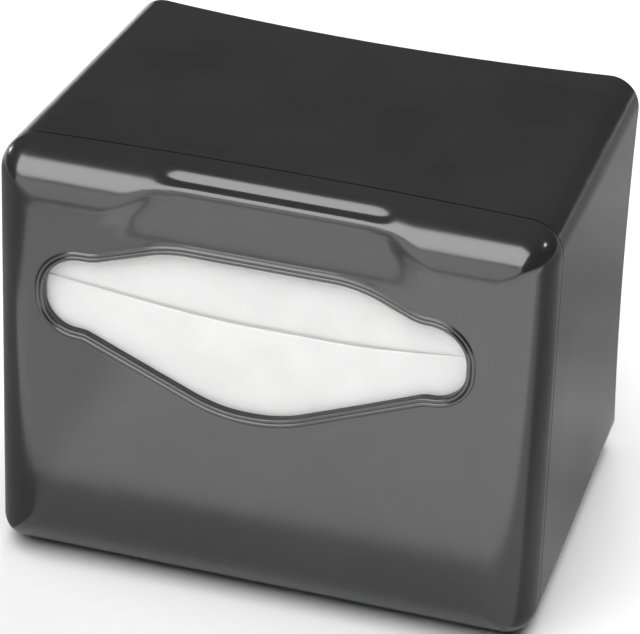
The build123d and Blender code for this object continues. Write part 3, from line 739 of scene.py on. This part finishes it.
FLOOR_HALF = 2.6
CARD_Z = 0.003
WORLD_DIM = (0.04, 0.04, 0.041, 1)
WORLD_SEEN = (0.92, 0.92, 0.92, 1)


def flat_sheet(name, x_range, y_range, z, material):
    """Level rectangle on the stage, in metres."""
    (x0, x1), (y0, y1) = x_range, y_range
    mesh = bpy.data.meshes.new(name)
    mesh.from_pydata([(x0, y0, z), (x1, y0, z), (x1, y1, z), (x0, y1, z)], [], [(0, 1, 2, 3)])
    mesh.materials.append(material)
    sheet = bpy.data.objects.new(name, mesh)
    bpy.context.scene.collection.objects.link(sheet)
    return sheet


def make_floor():
    m = Nodes("floor_paper")
    m.colour(m.noise(3.0, 2.0), (0.87, 0.87, 0.87), (0.89, 0.89, 0.89))
    m.shader.inputs["Roughness"].default_value = 0.9
    m.shader.inputs["Specular IOR Level"].default_value = 0.1
    flat_sheet("floor", (-FLOOR_HALF, FLOOR_HALF), (-FLOOR_HALF, FLOOR_HALF), 0, m.mat)


def reflection_card(name, x_range, y_range, glow_range):
    """A grey card beside the dispenser that only reflections see, as a flag is used in a studio."""
    m = Nodes(f"{name}_grey")
    m.shader.inputs["Base Color"].default_value = (0, 0, 0, 1)
    m.shader.inputs["Specular IOR Level"].default_value = 0.0
    m.shader.inputs["Emission Color"].default_value = (1, 1, 1, 1)
    m.link(m.spread(m.noise(9.0, 2.0), *glow_range), m.shader.inputs["Emission Strength"])
    card = flat_sheet(name, x_range, y_range, CARD_Z, m.mat)
    card.visible_camera = False
    card.visible_diffuse = False
    card.visible_shadow = False
    card.visible_transmission = False


def soft_light(name, where, target, size, power, seen_by):
    """Soft box that lights matt surfaces only ("matt") or shows in reflections only ("gloss")."""
    data = bpy.data.lights.new(name, "AREA")
    data.shape = "RECTANGLE"
    data.size, data.size_y = size
    data.energy = power
    light = bpy.data.objects.new(name, data)
    light.location = where
    light.rotation_mode = "QUATERNION"
    light.rotation_quaternion = (Vector(target) - Vector(where)).to_track_quat("-Z", "Y")
    light.visible_camera = False
    light.visible_diffuse = seen_by == "matt"
    light.visible_glossy = seen_by == "gloss"
    bpy.context.scene.collection.objects.link(light)


def make_world():
    """Dim surroundings that the camera itself sees as pale."""
    world = bpy.data.worlds.new("studio")
    bpy.context.scene.world = world
    world.use_nodes = True
    tree = world.node_tree
    back = tree.nodes["Background"]
    back.inputs["Color"].default_value = WORLD_DIM
    seen = tree.nodes.new("ShaderNodeBackground")
    seen.inputs["Color"].default_value = WORLD_SEEN
    path = tree.nodes.new("ShaderNodeLightPath")
    mix = tree.nodes.new("ShaderNodeMixShader")
    tree.links.new(path.outputs["Is Camera Ray"], mix.inputs["Fac"])
    tree.links.new(back.outputs["Background"], mix.inputs[1])
    tree.links.new(seen.outputs["Background"], mix.inputs[2])
    tree.links.new(mix.outputs["Shader"], tree.nodes["World Output"].inputs["Surface"])


# name, place and target in m, size in m, power in W, and what it lights
LIGHTS = [
    ("sky", (-0.25, -0.75, 1.75), (0.0, 0.0, 0.05), (2.0, 2.0), 48.0, "matt"),
    ("softbox", (-0.24, -0.78, 1.27), (0.0, 0.0, 0.1), (2.0, 1.0), 51.0, "gloss"),
    ("front", (-0.5, -2.05, 0.66), (0.0, 0.0, 0.1), (3.0, 1.3), 33.0, "gloss"),
    ("low_card", (0.43, -0.555, 0.012), (0.43, -0.555, 0.6), (1.34, 0.89), 6.8, "gloss"),
    ("rear_sky", (0.3, 1.5, 1.7), (0.0, 0.2, 0.0), (2.0, 1.6), 46.0, "matt"),
    ("spark_left", (-1.27, 0.70, 0.29), (0.0, 0.0, 0.1), (0.12, 0.12), 1.3, "gloss"),
    ("spark_right", (1.07, 0.40, 0.89), (0.0, 0.0, 0.1), (0.12, 0.12), 1.3, "gloss"),
]

make_floor()
reflection_card("side_card", (0.0965, 0.9), (-0.07, 1.2), (0.26, 0.48))
reflection_card("left_card", (-0.9, -0.0965), (-0.5, 0.25), (0.26, 0.36))
make_world()
for light in LIGHTS:
    soft_light(*light)


CAMERA_TURN = (16.217, 31.315, 1.976)
CAMERA_DISTANCE = 1.4892
CAMERA_TARGET = Vector((-0.00006, 0, 0.07771))
LENS, SENSOR = 234.664, 36.0


def make_camera():
    """Camera at an azimuth, elevation and roll in degrees, looking at the target."""
    azimuth, elevation, roll = (math.radians(v) for v in CAMERA_TURN)
    back = Vector((math.sin(azimuth) * math.cos(elevation), -math.cos(azimuth) * math.cos(elevation),
                   math.sin(elevation)))
    right = (-back).cross(Vector((0, 0, 1))).normalized()
    up = right.cross(-back)
    turned_right = right * math.cos(roll) + up * math.sin(roll)
    turned_up = -right * math.sin(roll) + up * math.cos(roll)
    data = bpy.data.cameras.new("camera")
    data.sensor_width = SENSOR
    data.lens = LENS
    data.clip_start, data.clip_end = 0.05, 30.0
    camera = bpy.data.objects.new("camera", data)
    camera.location = CAMERA_TARGET + back * CAMERA_DISTANCE
    camera.rotation_mode = "QUATERNION"
    camera.rotation_quaternion = Matrix((turned_right, turned_up, back)).transposed().to_quaternion()
    bpy.context.scene.collection.objects.link(camera)
    bpy.context.scene.camera = camera


make_camera()
bpy.context.scene.view_settings.view_transform = "Standard"
